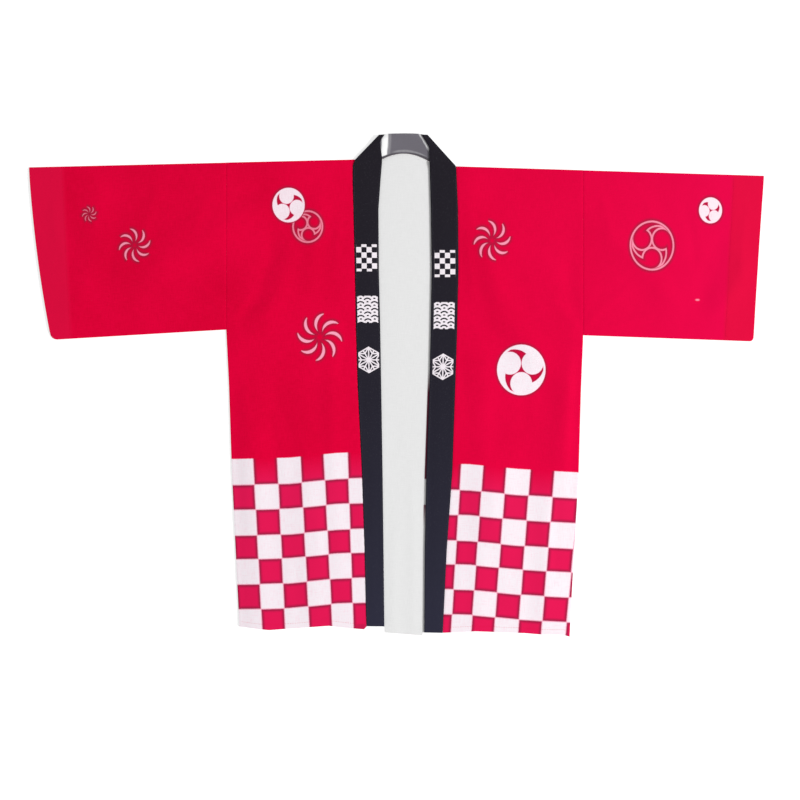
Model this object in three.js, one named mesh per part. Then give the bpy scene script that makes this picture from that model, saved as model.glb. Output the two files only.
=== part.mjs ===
import * as THREE from 'three';

const { clamp, lerp, smoothstep } = THREE.MathUtils;

// A festival coat lying open on its back with both sleeves spread.
// Millimetres: +X along the sleeves, +Y from hem to neck, +Z up from the surface under the coat.
// Left is the -X side and right the +X side, as seen from above.

// Cloth
const CLOTH = 1.2;
const BAND = 2.4;
const SEAM = 0.3;
const FOLD_GAP = 0.5;
const FRONT_UNDER = CLOTH + SEAM;

// Whole coat
const HALF_SPAN = 640;
const HALF_LENGTH = 437.5;
const HEM_SLOPE = -0.0195;
const HEM_CORNER_X = 301.5;

// How far the hem hangs unevenly above its slanting line
const HEM_RISES = [
  { x: -274, rise: 6.5 },
  { x: -222, rise: 1.5 },
  { x: -172, rise: 6 },
  { x: -118, rise: 11 },
  { x: -82, rise: 7.5 },
  { x: -55, rise: 6 },
  { x: -52, rise: 11.5 },
  { x: -21, rise: 11.5 },
  { x: -20, rise: 0.6 },
  { x: 45, rise: -3.2 },
  { x: 47, rise: 2.2 },
  { x: 80, rise: 2.5 },
  { x: 138, rise: 6.5 },
  { x: 225, rise: 4.8 },
  { x: 255, rise: 3 },
  { x: 290, rise: 3.3 },
  { x: HEM_CORNER_X, rise: 0 },
];

// Each side: the shoulder line and the underarm line are straight, y = at + slope * x.
// Sections run up the front from hem to shoulder: side seam, collar seam and free edge of the collar.
// Above the shoulder the collar's free edge runs through bend to the tip, where it folds over.
const LEFT = {
  sign: -1,
  armhole: -296.5,
  armpit: 97.4,
  shoulder: { at: 395.3, slope: 0.0237 },
  underarm: { at: 114.9, slope: 0.059 },
  cuff: { top: -HALF_SPAN, bottom: -603.5, bow: -4.7, corner: 13 },
  bend: { edge: -28.6, y: 424.5 },
  tip: { seam: -30.5, edge: -20.5, y: 435.5 },
  sections: [
    { y: -428, side: -273.8, seam: -52.4, edge: -21.1 },
    { y: -290, side: -280.4, seam: -55.5, edge: -22.6 },
    { y: -150, side: -287, seam: -60.3, edge: -24.3 },
    { y: 0, side: -291.8, seam: -67.6, edge: -26.7 },
    { y: 96, side: -296.5, seam: -70.5, edge: -28.3 },
    { y: 200, side: -296.5, seam: -72.4, edge: -30.7 },
    { y: 306, side: -296.5, seam: -75, edge: -31.4 },
    { y: 360, side: -296.5, seam: -76.4, edge: -27.6 },
    { y: 384, side: -296.5, seam: -76.2, edge: -25.6 },
    { y: 395, side: -296.5, seam: -72, edge: -24.9 },
  ],
};
const RIGHT = {
  sign: 1,
  armhole: 325,
  armpit: 87.4,
  shoulder: { at: 384.9, slope: -0.0305 },
  underarm: { at: 99.1, slope: -0.036 },
  cuff: { top: HALF_SPAN, bottom: 622, bow: -0.8, corner: 7 },
  bend: { edge: 56.5, y: 414.5 },
  tip: { seam: 54, edge: 43, y: 435.5 },
  sections: [
    { y: -434, side: 301.5, seam: 80.5, edge: 48.3 },
    { y: -290, side: 309, seam: 87.4, edge: 49.2 },
    { y: -150, side: 317.2, seam: 97.3, edge: 52 },
    { y: 0, side: 321.4, seam: 102.4, edge: 57.5 },
    { y: 86, side: 325, seam: 105.2, edge: 59.3 },
    { y: 200, side: 325, seam: 107.8, edge: 61.2 },
    { y: 306, side: 325, seam: 107, edge: 59.8 },
    { y: 382, side: 325, seam: 103.8, edge: 57.7 },
  ],
};

// Back of the neck: an arched seam, and the upper edge of the standing collar
const NECK_ARCH = { x: 12.5, y: 403.6, curve: 0.007 };
const NECK_LIFT = 8;
const NECK_TOP = [
  { x: -64, y: 402 },
  { x: -30.5, y: 434.5 },
  { x: -20, y: HALF_LENGTH },
  { x: 40, y: HALF_LENGTH },
  { x: 54, y: 434.5 },
  { x: 92, y: 388 },
];

// Stretch below the back's upper edge over which a band climbs from the front onto the neck collar
const CLIMB_FROM = 14;
const CLIMB_TO = 2;

// Soft ridges and troughs of the upper layer: each runs from point 0 to point 1, bows sideways
// by bend, and fades in and out over these shares of its length, a little past both ends
const CREASE_START = [-0.15, 0.25];
const CREASE_END = [0.75, 1.15];
const RESTING_LIFT = 0.9;
const HIGHEST_LIFT = 3.4;
const EDGE_FADE = 24;
const CREASES = [
  { x0: -238, y0: 315, x1: -447, y1: 175, bend: 12, width: 30, rise: 2.1 },
  { x0: -221, y0: 350, x1: -386, y1: 228, bend: 10, width: 18, rise: -0.9 },
  { x0: -180, y0: 262, x1: -250, y1: 90, bend: -14, width: 20, rise: 1.8 },
  { x0: -212, y0: 271, x1: -278, y1: 106, bend: -14, width: 13, rise: -0.9 },
  { x0: -130, y0: 335, x1: -152, y1: 160, bend: 6, width: 20, rise: 1.5 },
  { x0: -240, y0: 40, x1: -232, y1: -440, bend: 8, width: 24, rise: 1.8 },
  { x0: -170, y0: -20, x1: -148, y1: -450, bend: -10, width: 26, rise: 1.4 },
  { x0: -112, y0: 70, x1: -96, y1: -360, bend: 6, width: 16, rise: 1.1 },
  { x0: -520, y0: 350, x1: -560, y1: 120, bend: -9, width: 24, rise: 1.4 },
  { x0: 128, y0: 367, x1: 303, y1: -8, bend: 46, width: 26, rise: 2.5 },
  { x0: 303, y0: 50, x1: 290, y1: -150, bend: 5, width: 20, rise: 1.6 },
  { x0: 300, y0: 225, x1: 318, y1: 110, bend: 6, width: 14, rise: -0.9 },
  { x0: 140, y0: 340, x1: 160, y1: 140, bend: 8, width: 15, rise: -0.8 },
  { x0: 337, y0: 282, x1: 486, y1: 140, bend: -10, width: 22, rise: 2 },
  { x0: 547, y0: 120, x1: 612, y1: 225, bend: 8, width: 20, rise: 1.6 },
  { x0: 573, y0: 262, x1: 529, y1: 130, bend: 6, width: 15, rise: -0.9 },
  { x0: 148, y0: 70, x1: 138, y1: -450, bend: -8, width: 22, rise: 1.5 },
  { x0: 205, y0: 10, x1: 190, y1: -400, bend: 10, width: 25, rise: 1.2 },
  { x0: 262, y0: -170, x1: 250, y1: -455, bend: -6, width: 18, rise: 1.4 },
];

// Ripples of the back where it shows between the collar bands
const BACK_RIPPLES = [
  { x0: 0, y0: -230, x1: -3, y1: -470, bend: 4, width: 9, rise: 0.9 },
  { x0: 26, y0: -150, x1: 27, y1: -470, bend: -3, width: 8, rise: 0.7 },
];

// Mesh fineness
const BODY_ROWS = 30;
const BACK_ROWS = 16;
const FRONT_COLUMNS = 13;
const BAND_COLUMNS = 4;
const TIP_ROWS = 9;
const SLEEVE_RINGS = 13;
const SLEEVE_COLUMNS = 12;
const SLEEVE_UNDER_COLUMNS = 3;
const EDGE_STEPS = 4;
const CORNER_STEPS = 4;
const NECK_ROWS = 8;
const NECK_COLUMNS = 23;
const BACK_SIDE_COLUMNS = FRONT_COLUMNS;

const RED = 0xdd0d40;
const BLACK = 0x2b262d;
const COTTON_ROUGHNESS = 0.85;

// Value of one column of a table at a place between its rows
function between(rows, key, at, column) {
  const last = rows.length - 1;
  const next = clamp(rows.findIndex((row) => row[key] > at), 0, last);
  const upper = rows[at >= rows[last][key] ? last : Math.max(next, 1)];
  const lower = rows[rows.indexOf(upper) - 1];
  const share = clamp((at - lower[key]) / (upper[key] - lower[key]), 0, 1);
  return lerp(lower[column], upper[column], share);
}

function shoulderY(side, x) {
  return side.shoulder.at + side.shoulder.slope * x;
}

function underarmY(side, x) {
  return side.underarm.at + side.underarm.slope * x;
}

function hemY(x) {
  return -HALF_LENGTH + HEM_SLOPE * (x - HEM_CORNER_X) + between(HEM_RISES, 'x', x, 'rise');
}

// Upper edge of the back: two shoulder lines with the neck's arch between them
function backTopY(x) {
  const arch = NECK_ARCH.y - NECK_ARCH.curve * (x - NECK_ARCH.x) ** 2;
  return Math.max(shoulderY(x < 0 ? LEFT : RIGHT, x), arch);
}

// Height of one soft ridge or trough at a point
function creaseHeight(crease, x, y) {
  const runX = crease.x1 - crease.x0;
  const runY = crease.y1 - crease.y0;
  const length = Math.hypot(runX, runY);
  const along = ((x - crease.x0) * runX + (y - crease.y0) * runY) / length ** 2;
  const onLine = clamp(along, 0, 1);
  const bow = 4 * crease.bend * onLine * (1 - onLine);
  const across = (((x - crease.x0) * runY - (y - crease.y0) * runX) / length - bow) / crease.width;
  const ends = smoothstep(along, ...CREASE_START) * (1 - smoothstep(along, ...CREASE_END));
  return crease.rise * ends * Math.exp(-across * across);
}

function creasesHeight(creases, x, y) {
  return creases.reduce((height, crease) => height + creaseHeight(crease, x, y), 0);
}

// Lines where the upper layer is held down: folded and sewn edges, and the collar's free edges
function heldLines(side) {
  const foot = side.sections[0];
  const chest = side.sections[side.sections.length - 2];
  const head = side.sections[side.sections.length - 1];
  const cuffTop = [side.cuff.top, shoulderY(side, side.cuff.top)];
  const neck = [head.seam, shoulderY(side, head.seam)];
  const cuffBottom = [side.cuff.bottom, underarmY(side, side.cuff.bottom)];
  const armpit = [side.armhole, side.armpit];
  const hem = [foot.side, hemY(foot.side)];
  return [
    [cuffTop, neck],
    [cuffBottom, armpit],
    [armpit, hem],
    [[foot.edge, foot.y], [chest.edge, chest.y]],
    [[chest.edge, chest.y], [head.edge, head.y]],
  ];
}

const HELD_LINES = [...heldLines(LEFT), ...heldLines(RIGHT)];

function distanceToLine([[ax, ay], [bx, by]], x, y) {
  const runX = bx - ax;
  const runY = by - ay;
  const share = clamp(((x - ax) * runX + (y - ay) * runY) / (runX ** 2 + runY ** 2), 0, 1);
  return Math.hypot(x - ax - share * runX, y - ay - share * runY);
}

// How far the upper layer stands above the layer under it
function lift(x, y) {
  const nearest = Math.min(...HELD_LINES.map((line) => distanceToLine(line, x, y)));
  const height = clamp(RESTING_LIFT + creasesHeight(CREASES, x, y), 0, HIGHEST_LIFT);
  return height * smoothstep(nearest, 0, EDGE_FADE);
}

// How far the collar behind the neck rises from the surface
function neckLift(x, y) {
  const first = NECK_TOP[0].x;
  const last = NECK_TOP[NECK_TOP.length - 1].x;
  const arc = Math.sin((Math.PI * clamp(x - first, 0, last - first)) / (last - first));
  const up = clamp((y - backTopY(x)) / (HALF_LENGTH - NECK_ARCH.y), 0, 1);
  return NECK_LIFT * arc ** 2 * up ** 2;
}

// Underside of a collar band: on the back panel, then over the collar behind the neck
function bandUnder(x, y) {
  const onBack = FRONT_UNDER + lift(x, y);
  const onNeck = BAND + FOLD_GAP + neckLift(x, y);
  return lerp(onBack, onNeck, smoothstep(y, backTopY(x) - CLIMB_FROM, backTopY(x) - CLIMB_TO));
}

// A closed mesh with its faces turned outwards
function closedMesh(name, points, triangles, colour) {
  let volume = 0;
  for (const [a, b, c] of triangles) {
    volume += points[a].dot(new THREE.Vector3().crossVectors(points[b], points[c]));
  }
  const outward = volume > 0 ? triangles : triangles.map(([a, b, c]) => [a, c, b]);
  const geometry = new THREE.BufferGeometry().setFromPoints(points);
  geometry.setIndex(outward.flat());
  geometry.computeVertexNormals();
  const cotton = { color: colour, roughness: COTTON_ROUGHNESS, metalness: 0 };
  const mesh = new THREE.Mesh(geometry, new THREE.MeshStandardMaterial(cotton));
  mesh.name = name;
  return mesh;
}

function quad(a, b, c, d) {
  return [[a, b, c], [a, c, d]];
}

// A cloth wall over a grid of places, between its underside and the same points moved up
function clothWall(name, grid, under, thickness, colour) {
  const rows = grid.length;
  const columns = grid[0].length;
  const flat = grid.flat();
  const lower = flat.map(([x, y]) => new THREE.Vector3(x, y, under(x, y)));
  const upper = lower.map((point) => new THREE.Vector3(point.x, point.y, point.z + thickness));
  const at = (row, column, layer) => layer * flat.length + row * columns + column;
  const triangles = [];
  for (let row = 0; row < rows - 1; row += 1) {
    for (let column = 0; column < columns - 1; column += 1) {
      const corners = [[row, column], [row, column + 1], [row + 1, column + 1], [row + 1, column]];
      triangles.push(...quad(...corners.map(([r, c]) => at(r, c, 1))));
      triangles.push(...quad(...corners.reverse().map(([r, c]) => at(r, c, 0))));
    }
  }
  const rim = [];
  for (let column = 0; column < columns - 1; column += 1) rim.push([0, column]);
  for (let row = 0; row < rows - 1; row += 1) rim.push([row, columns - 1]);
  for (let column = columns - 1; column > 0; column -= 1) rim.push([rows - 1, column]);
  for (let row = rows - 1; row > 0; row -= 1) rim.push([row, 0]);
  rim.forEach(([row, column], place) => {
    const [nextRow, nextColumn] = rim[(place + 1) % rim.length];
    triangles.push(...quad(
      at(row, column, 0),
      at(nextRow, nextColumn, 0),
      at(nextRow, nextColumn, 1),
      at(row, column, 1),
    ));
  });
  return closedMesh(name, [...lower, ...upper], triangles, colour);
}

// A tube with open ends, from matching outer and inner rings
function clothTube(name, outer, inner, colour) {
  const count = outer[0].length;
  const last = outer.length - 1;
  const points = [...outer.flat(), ...inner.flat()];
  const at = (ring, place, wall) => wall * outer.length * count + ring * count + (place % count);
  const triangles = [];
  for (let place = 0; place < count; place += 1) {
    for (let ring = 0; ring < last; ring += 1) {
      const corners = [[ring, place], [ring, place + 1], [ring + 1, place + 1], [ring + 1, place]];
      triangles.push(...quad(...corners.map(([r, p]) => at(r, p, 0))));
      triangles.push(...quad(...corners.reverse().map(([r, p]) => at(r, p, 1))));
    }
    triangles.push(...quad(at(0, place + 1, 0), at(0, place, 0), at(0, place, 1), at(0, place + 1, 1)));
    triangles.push(...quad(
      at(last, place, 0),
      at(last, place + 1, 0),
      at(last, place + 1, 1),
      at(last, place, 1),
    ));
  }
  return closedMesh(name, points, triangles, colour);
}

function shares(count) {
  return Array.from({ length: count }, (unused, step) => step / (count - 1));
}

// A place on a front, at a share of the way up from the hem and between two of its edges
function frontPlace(side, up, x) {
  return [x, lerp(hemY(x), shoulderY(side, x), up)];
}

function sectionX(side, up, column) {
  const foot = side.sections[0].y;
  const head = side.sections[side.sections.length - 1].y;
  return between(side.sections, 'y', lerp(foot, head, up), column);
}

function front(name, side) {
  const grid = shares(BODY_ROWS).map((up) => shares(FRONT_COLUMNS).map((across) => {
    const x = lerp(sectionX(side, up, 'side'), sectionX(side, up, 'seam'), across);
    return frontPlace(side, up, x);
  }));
  return clothWall(name, grid, (x, y) => FRONT_UNDER + lift(x, y), CLOTH, RED);
}

// The collar's band down one front, from the hem to the tip where it folds behind the neck
function collarBand(name, side) {
  const seamX = (up) => sectionX(side, up, 'seam') - side.sign * SEAM;
  const onFront = shares(BODY_ROWS).map((up) => shares(BAND_COLUMNS).map((across) => (
    frontPlace(side, up, lerp(seamX(up), sectionX(side, up, 'edge'), across))
  )));
  const head = onFront[BODY_ROWS - 1];
  const [seamHeadX, seamHeadY] = head[0];
  const [edgeHeadX, edgeHeadY] = head[BAND_COLUMNS - 1];
  const edge = [
    { x: edgeHeadX, y: edgeHeadY },
    { x: side.bend.edge, y: side.bend.y },
    { x: side.tip.edge, y: side.tip.y },
  ];
  const onNeck = shares(TIP_ROWS + 1).slice(1).map((up) => {
    const x = lerp(seamHeadX, side.tip.seam, up);
    const y = lerp(seamHeadY, side.tip.y, up);
    const edgeY = lerp(edgeHeadY, side.tip.y, up);
    const edgeX = between(edge, 'y', edgeY, 'x');
    return shares(BAND_COLUMNS).map((across) => [lerp(x, edgeX, across), lerp(y, edgeY, across)]);
  });
  return clothWall(name, [...onFront, ...onNeck], bandUnder, BAND, BLACK);
}

// The collar behind the neck, from the arched seam to its upper edge
function collarNeck(name) {
  const grid = shares(NECK_ROWS).map((up) => shares(NECK_COLUMNS).map((across) => {
    const x = lerp(NECK_TOP[0].x, NECK_TOP[NECK_TOP.length - 1].x, across);
    return [x, lerp(backTopY(x) + SEAM, between(NECK_TOP, 'x', x, 'y'), up)];
  }));
  return clothWall(name, grid, neckLift, BAND, BLACK);
}

// The back: its columns between the collar's ends are those of the collar behind the neck
function back(name) {
  const shareAt = (x) => (x - LEFT.armhole) / (RIGHT.armhole - LEFT.armhole);
  const from = shareAt(NECK_TOP[0].x);
  const to = shareAt(NECK_TOP[NECK_TOP.length - 1].x);
  const columns = [
    ...shares(BACK_SIDE_COLUMNS).map((share) => lerp(0, from, share)),
    ...shares(NECK_COLUMNS).slice(1).map((share) => lerp(from, to, share)),
    ...shares(BACK_SIDE_COLUMNS).slice(1).map((share) => lerp(to, 1, share)),
  ];
  const grid = shares(BACK_ROWS).map((up) => columns.map((across) => {
    const x = lerp(sectionX(LEFT, up, 'side'), sectionX(RIGHT, up, 'side'), across);
    return [x, lerp(hemY(x), backTopY(x), up)];
  }));
  return clothWall(name, grid, (x, y) => creasesHeight(BACK_RIPPLES, x, y), CLOTH, RED);
}

// One ring of a flattened sleeve: lower layer, folded shoulder edge, upper layer, underarm edge
function sleeveRing(side, reach, rise, wall) {
  const start = side.armhole + side.sign * SEAM;
  const middle = CLOTH + SEAM / 2;
  const radius = middle - wall;
  const xAt = (up) => {
    const bow = 4 * side.cuff.bow * up * (1 - up);
    return lerp(start, lerp(side.cuff.bottom, side.cuff.top, up) + bow, reach);
  };
  const low = underarmY(side, xAt(0)) + rise + middle;
  const high = shoulderY(side, xAt(1)) - middle;
  const edge = (up, centre, from) => shares(EDGE_STEPS + 1).map((share) => {
    const angle = from + Math.PI * share;
    const y = centre + radius * Math.cos(angle);
    return new THREE.Vector3(xAt(up), y, middle + radius * Math.sin(angle));
  });
  const layer = (columns, heightAt) => shares(columns + 2).slice(1, -1).map((up) => {
    const y = lerp(low, high, up);
    return new THREE.Vector3(xAt(up), y, heightAt(xAt(up), y));
  });
  return [
    ...layer(SLEEVE_UNDER_COLUMNS, () => middle - radius),
    ...edge(1, high, -Math.PI / 2),
    ...layer(SLEEVE_COLUMNS, (x, y) => middle + radius + lift(x, y)).reverse(),
    ...edge(0, low, Math.PI / 2),
  ];
}

function sleeve(name, side) {
  const cornerShare = side.cuff.corner / Math.abs(side.cuff.bottom - side.armhole);
  const straight = shares(SLEEVE_RINGS).map((share) => [share * (1 - cornerShare), 0]);
  const corner = shares(CORNER_STEPS + 1).slice(1).map((share) => {
    const angle = (share * Math.PI) / 2;
    return [1 - cornerShare * (1 - Math.sin(angle)), side.cuff.corner * (1 - Math.cos(angle))];
  });
  const stations = [...straight, ...corner];
  const outer = stations.map(([reach, rise]) => sleeveRing(side, reach, rise, 0));
  const inner = stations.map(([reach, rise]) => sleeveRing(side, reach, rise, CLOTH));
  return clothTube(name, outer, inner, RED);
}

const coat = new THREE.Group();
coat.add(back('back'));
coat.add(front('front_left', LEFT));
coat.add(front('front_right', RIGHT));
coat.add(sleeve('sleeve_left', LEFT));
coat.add(sleeve('sleeve_right', RIGHT));
coat.add(collarBand('collar_left', LEFT));
coat.add(collarBand('collar_right', RIGHT));
coat.add(collarNeck('collar_neck'));

export default coat;
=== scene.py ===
# A red festival coat lying open on its back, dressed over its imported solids.
# Tables are in millimetres: +X along the sleeves, +Y from hem to neck, +Z up from the surface.
# Left is the -X side and right the +X side, as seen from above.
import math
from collections import namedtuple

import bpy
import numpy as np
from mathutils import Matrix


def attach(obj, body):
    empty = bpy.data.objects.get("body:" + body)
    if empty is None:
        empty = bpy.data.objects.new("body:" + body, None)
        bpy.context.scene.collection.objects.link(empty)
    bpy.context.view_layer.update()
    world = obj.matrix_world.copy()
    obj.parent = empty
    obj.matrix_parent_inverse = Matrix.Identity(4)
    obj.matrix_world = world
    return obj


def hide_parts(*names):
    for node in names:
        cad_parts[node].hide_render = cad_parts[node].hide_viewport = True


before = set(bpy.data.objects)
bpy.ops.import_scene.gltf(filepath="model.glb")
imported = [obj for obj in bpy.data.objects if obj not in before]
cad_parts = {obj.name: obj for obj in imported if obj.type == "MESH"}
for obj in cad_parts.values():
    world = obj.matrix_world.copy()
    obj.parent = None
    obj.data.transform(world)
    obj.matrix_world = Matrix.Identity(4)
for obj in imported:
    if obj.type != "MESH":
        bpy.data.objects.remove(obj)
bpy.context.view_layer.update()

MM = 0.001


def table(kind, rows):
    """Rows of numbers with named columns."""
    return [kind(*row) for row in rows]

# Cloth of the solids, and the thin sheet shown on them
CLOTH = 1.2
BAND = 2.4
SEAM = 0.3
FOLD_GAP = 0.5
FRONT_UNDER = CLOTH + SEAM
SHEET = 0.8
SEAM_OPEN = 0.06
GRID = 4.0
BACK_GRID = 1.25 * GRID
BAND_GRID = 0.75 * GRID
NECK_GRID = 0.5 * GRID

# Whole coat
HALF_SPAN = 640.0
HALF_LENGTH = 437.5
HEM_SLOPE = -0.0195
HEM_CORNER_X = 301.5

# How far the hem hangs unevenly above its slanting line
HEM_RISES = [
    (-274, 6.5), (-222, 1.5), (-172, 6), (-118, 11), (-82, 7.5), (-55, 6),
    (-52, 11.5), (-21, 11.5), (-20, 0.6), (45, -3.2), (47, 2.2), (80, 2.5),
    (138, 6.5), (225, 4.8), (255, 3), (290, 3.3), (HEM_CORNER_X, 0),
]
HEM_STEPS = (-21.0, -20.0, 45.0, 47.0)

Section = namedtuple("Section", "y side seam edge")
Line = namedtuple("Line", "at slope")
Cuff = namedtuple("Cuff", "top bottom bow corner hem_top hem_bottom")
Bend = namedtuple("Bend", "edge y")
Tip = namedtuple("Tip", "seam edge y")
Side = namedtuple("Side", "name sign armhole armpit shoulder underarm cuff bend tip sections")

# Shoulder and underarm lines are y = at + slope * x. Sections run up the front from hem to
# shoulder: side seam, collar seam and free edge of the collar. Above the shoulder the collar's
# free edge runs through bend to the tip, where it folds over. The cuff's hem is sewn along a
# line from hem_bottom to hem_top.
LEFT = Side(
    name="left",
    sign=-1,
    armhole=-296.5,
    armpit=97.4,
    shoulder=Line(395.3, 0.0237),
    underarm=Line(114.9, 0.059),
    cuff=Cuff(-HALF_SPAN, -603.5, -4.7, 13.0, -581.0, -566.0),
    bend=Bend(-28.6, 424.5),
    tip=Tip(-30.5, -20.5, 435.5),
    sections=table(Section, [
        (-428.0, -273.8, -52.4, -21.1),
        (-290.0, -280.4, -55.5, -22.6),
        (-150.0, -287.0, -60.3, -24.3),
        (0.0, -291.8, -67.6, -26.7),
        (96.0, -296.5, -70.5, -28.3),
        (200.0, -296.5, -72.4, -30.7),
        (306.0, -296.5, -75.0, -31.4),
        (360.0, -296.5, -76.4, -27.6),
        (384.0, -296.5, -76.2, -25.6),
        (395.0, -296.5, -72.0, -24.9),
    ]),
)
RIGHT = Side(
    name="right",
    sign=1,
    armhole=325.0,
    armpit=87.4,
    shoulder=Line(384.9, -0.0305),
    underarm=Line(99.1, -0.036),
    cuff=Cuff(HALF_SPAN, 622.0, -0.8, 7.0, 586.0, 570.0),
    bend=Bend(56.5, 414.5),
    tip=Tip(54.0, 43.0, 435.5),
    sections=table(Section, [
        (-434.0, 301.5, 80.5, 48.3),
        (-290.0, 309.0, 87.4, 49.2),
        (-150.0, 317.2, 97.3, 52.0),
        (0.0, 321.4, 102.4, 57.5),
        (86.0, 325.0, 105.2, 59.3),
        (200.0, 325.0, 107.8, 61.2),
        (306.0, 325.0, 107.0, 59.8),
        (382.0, 325.0, 103.8, 57.7),
    ]),
)
SIDES = (LEFT, RIGHT)

# Back of the neck: an arched seam, and the upper edge of the standing collar
NECK_ARCH_X = 12.5
NECK_ARCH_Y = 403.6
NECK_ARCH_CURVE = 0.007
NECK_LIFT = 8.0
NECK_TOP = [
    (-64, 402), (-30.5, 434.5), (-20, HALF_LENGTH), (40, HALF_LENGTH), (54, 434.5), (92, 388),
]
CLIMB_FROM = 14.0
CLIMB_TO = 2.0

# Soft ridges and troughs: each runs from point 0 to point 1, bows sideways by bend, and fades
# in and out over these shares of its length
CREASE_START = (-0.15, 0.25)
CREASE_END = (0.75, 1.15)
RESTING_LIFT = 0.9
HIGHEST_LIFT = 3.4
EDGE_FADE = 24.0
Crease = namedtuple("Crease", "x0 y0 x1 y1 bend width rise")

MAIN_CREASES = table(Crease, [
    (-238, 315, -447, 175, 12, 30, 2.1),
    (-221, 350, -386, 228, 10, 18, -0.9),
    (-180, 262, -250, 90, -14, 20, 1.8),
    (-212, 271, -278, 106, -14, 13, -0.9),
    (-130, 335, -152, 160, 6, 20, 1.5),
    (-240, 40, -232, -440, 8, 24, 1.8),
    (-170, -20, -148, -450, -10, 26, 1.4),
    (-112, 70, -96, -360, 6, 16, 1.1),
    (-520, 350, -560, 120, -9, 24, 1.4),
    (128, 367, 303, -8, 46, 26, 2.5),
    (303, 50, 290, -150, 5, 20, 1.6),
    (300, 225, 318, 110, 6, 14, -0.9),
    (140, 340, 160, 140, 8, 15, -0.8),
    (337, 282, 486, 140, -10, 22, 2),
    (547, 120, 612, 225, 8, 20, 1.6),
    (573, 262, 529, 130, 6, 15, -0.9),
    (148, 70, 138, -450, -8, 22, 1.5),
    (205, 10, 190, -400, 10, 25, 1.2),
    (262, -170, 250, -455, -6, 18, 1.4),
])

# Slighter creases that only show close up, fanning from armpits, collar and cuffs
FINE_CREASES = table(Crease, [
    (-300, 120, -372, 196, 5, 8, 0.5),
    (-302, 108, -398, 158, -4, 7, 0.4),
    (-286, 112, -232, 176, -5, 8, 0.5),
    (-284, 94, -206, 128, 4, 7, -0.4),
    (-330, 330, -352, 262, 4, 9, 0.4),
    (-418, 352, -452, 250, -6, 10, 0.5),
    (-478, 300, -498, 168, 5, 8, -0.4),
    (-596, 330, -588, 240, 3, 8, 0.4),
    (-430, 112, -520, 150, 6, 9, 0.5),
    (-96, 300, -104, 210, 3, 7, 0.4),
    (-88, 120, -100, 20, -4, 7, -0.3),
    (-262, 20, -252, -110, 4, 8, 0.4),
    (-204, -60, -196, -190, -5, 9, 0.4),
    (-136, -210, -128, -330, 4, 8, 0.4),
    (-262, -240, -254, -400, -3, 8, -0.4),
    (-188, -300, -180, -420, 3, 8, 0.4),
    (328, 104, 404, 168, -5, 8, 0.5),
    (330, 96, 438, 122, 4, 7, 0.4),
    (316, 98, 262, 150, 5, 8, 0.5),
    (312, 78, 236, 96, -4, 7, -0.4),
    (352, 342, 372, 250, -4, 9, 0.4),
    (436, 330, 470, 224, 6, 10, 0.5),
    (500, 318, 520, 200, -4, 8, -0.4),
    (608, 300, 600, 190, 3, 8, 0.4),
    (120, 250, 132, 150, -3, 7, 0.4),
    (118, 60, 124, -60, 4, 7, -0.3),
    (228, 60, 236, -80, -5, 9, 0.4),
    (174, -120, 170, -260, 4, 8, 0.4),
    (282, -200, 276, -340, 3, 8, -0.4),
    (112, -260, 106, -400, -3, 8, 0.4),
    (222, -280, 216, -420, 4, 8, 0.4),
])

# Ripples of the back where it shows between the collar bands
BACK_RIPPLES = table(Crease, [
    (0, -230, -3, -470, 4, 9, 0.3),
    (26, -150, 27, -470, -3, 8, 0.25),
])

# Dents of the outside of the back and the lower layers of the sleeves, which lie on the surface
UNDER_CREASES = table(Crease, [
    (-210, 330, -120, 120, 22, 16, 0.5),
    (190, 310, 110, 90, -20, 14, 0.5),
    (-60, 260, -84, -20, 12, 12, 0.4),
    (70, 200, 96, -110, -12, 13, 0.4),
    (-230, 60, -214, -260, 10, 15, 0.5),
    (236, 20, 222, -300, -9, 14, 0.5),
    (-20, -40, -30, -380, 8, 12, 0.4),
    (148, -120, 140, -400, 8, 12, 0.4),
    (-140, -160, -132, -420, -7, 11, 0.4),
    (-330, 300, -450, 180, 12, 16, 0.5),
    (-500, 320, -540, 150, -9, 13, 0.4),
    (360, 300, 470, 160, -12, 16, 0.5),
    (540, 300, 566, 140, 9, 13, 0.4),
])
UNDER_HIGHEST = 0.6

# Three slight waves over all the cloth, by their lengths along x and y
WAVY_FIRST = (29, 47)
WAVY_SECOND = (17, 61)
WAVY_SHIFT = 1.3
WAVY_THIRD = (70, 23)
WAVY_BEND = 2.1
WAVY_RISES = (0.14, 0.1, 0.1)

# Seams pucker the cloth beside them a little
PUCKER_RISE = 0.22
PUCKER_REACH = 6.5
PUCKER_WAVES = (17.0, 11.3)

# Hems folded to the inside make the cloth a little thicker
HEM_DEPTH = 11.0
HEM_STEP = 0.3
HEM_STEP_WIDTH = 5.0

# Printed check: outer column lines of each half at two heights, top line, and depth of each row
Columns = namedtuple("Columns", "y lines")
CHECK_PITCH = 41.0
CHECK_ROWS = [0, 45.3, 88.8, 133.5, 174.9, 218.6, 262.0, 305.0]
CHECK_COLUMNS = {
    "left": [
        Columns(-409, (-234.4, -194.3, -152.2, -112.1, -75.3)),
        Columns(-151, (-248.2, -206.5, -165.7, -125.2, -83.9)),
    ],
    "right": [
        Columns(-412, (96.1, 131.1, 171.1, 212.9, 253.4, 296.3)),
        Columns(-161, (111.4, 149.3, 189.9, 232.1, 274.1, 320.0)),
    ],
}
CHECK_TOP = {
    "left": [(-277, -128), (-186, -125.7), (-104, -117.5), (-60, -116)],
    "right": [(80, -136), (128, -137.2), (208, -145.1), (294, -150.2), (325, -152)],
}
CHECK_PHASE = {"left": 1, "right": 0}
CHECK_TOP_BLUR = 0.04

# The last row ends at this share, so that its lower line stays off
CHECK_LAST = 0.9

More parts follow.
